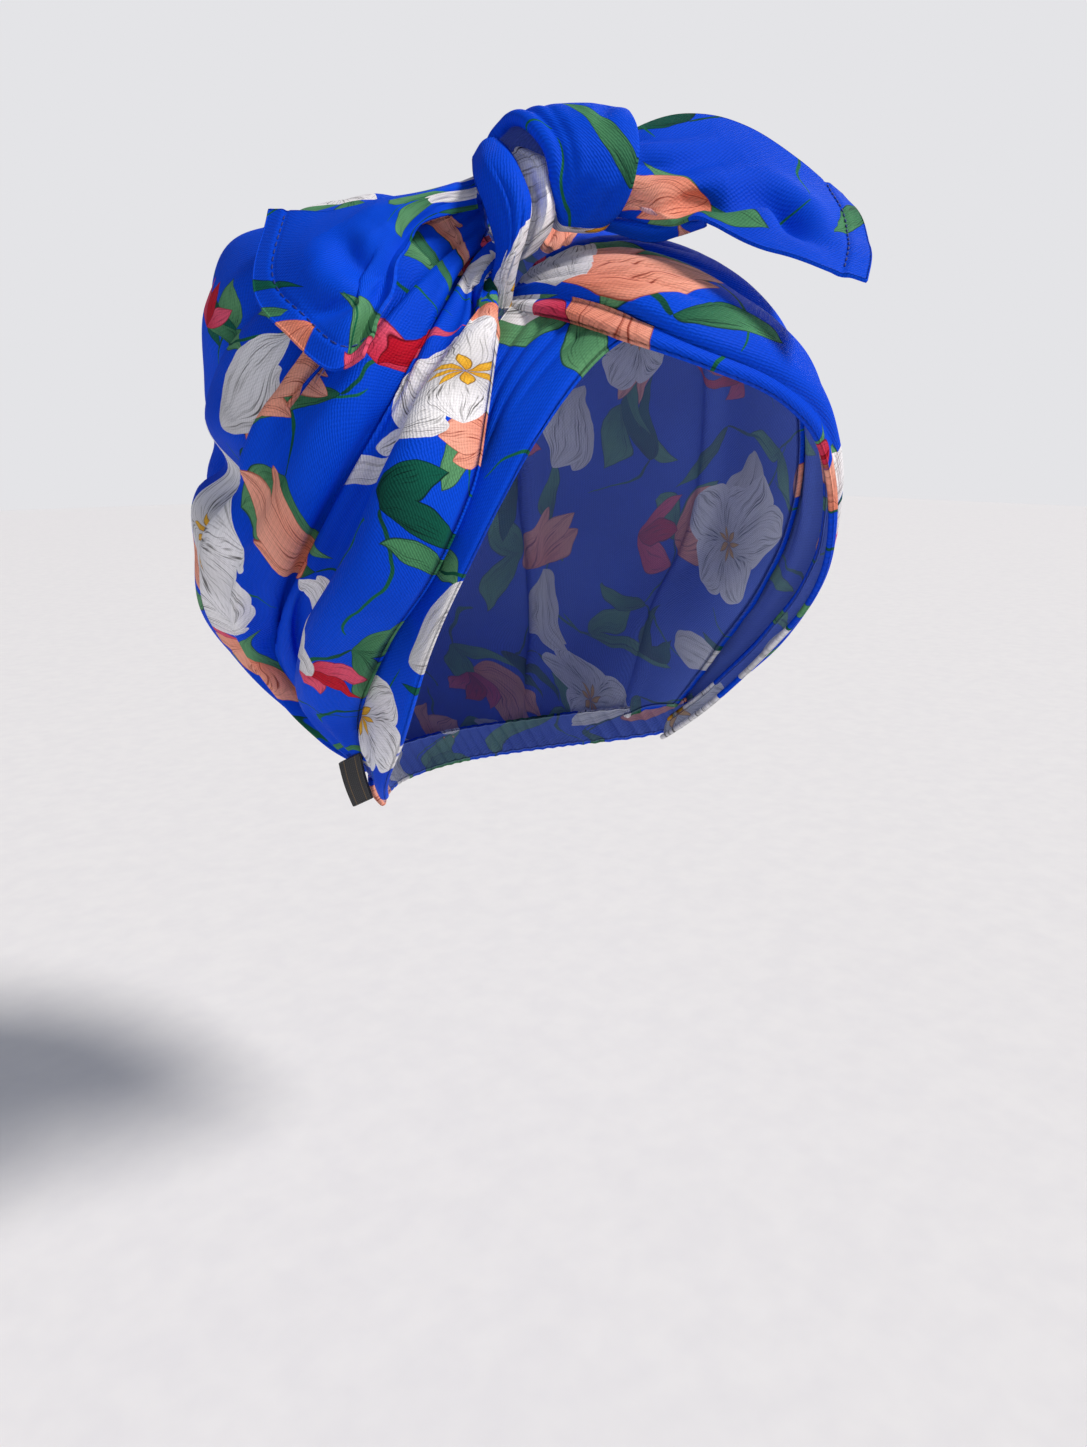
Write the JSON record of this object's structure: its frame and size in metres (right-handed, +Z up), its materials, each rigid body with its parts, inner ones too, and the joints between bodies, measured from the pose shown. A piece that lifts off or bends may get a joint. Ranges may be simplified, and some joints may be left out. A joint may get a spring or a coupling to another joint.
{
  "type": "pre-tied turban",
  "caption": "Soft gathered turban of floral cloth, with a knot above the brow, a tail to each side, flat face bands and an elastic casing at the nape.",
  "frame": {"origin": "middle of the wearer's head at hat-line height, where the head holds the turban", "axes": "-Y is where the wearer looks, -X is the wearer's right, +Z is up"},
  "size_m": [0.2025, 0.2258, 0.2116],
  "materials": {
    "cloth": "printed crepe, soft sheen",
    "pale_cloth": "the same crepe where a pale flower lies",
    "label": "matt woven tape"
  },
  "bodies": {
    "root": {"crown": "cloth", "right_band": "cloth", "left_band_upper": "cloth", "left_band_lower": "cloth", "knot_collar": "cloth", "knot_front_loop": "cloth", "knot_inner_strand": "pale_cloth", "knot_tuck": "cloth", "left_tail": "cloth", "right_tail": "cloth", "nape_casing": "cloth", "label": "label"}
  },
  "joints": []
}
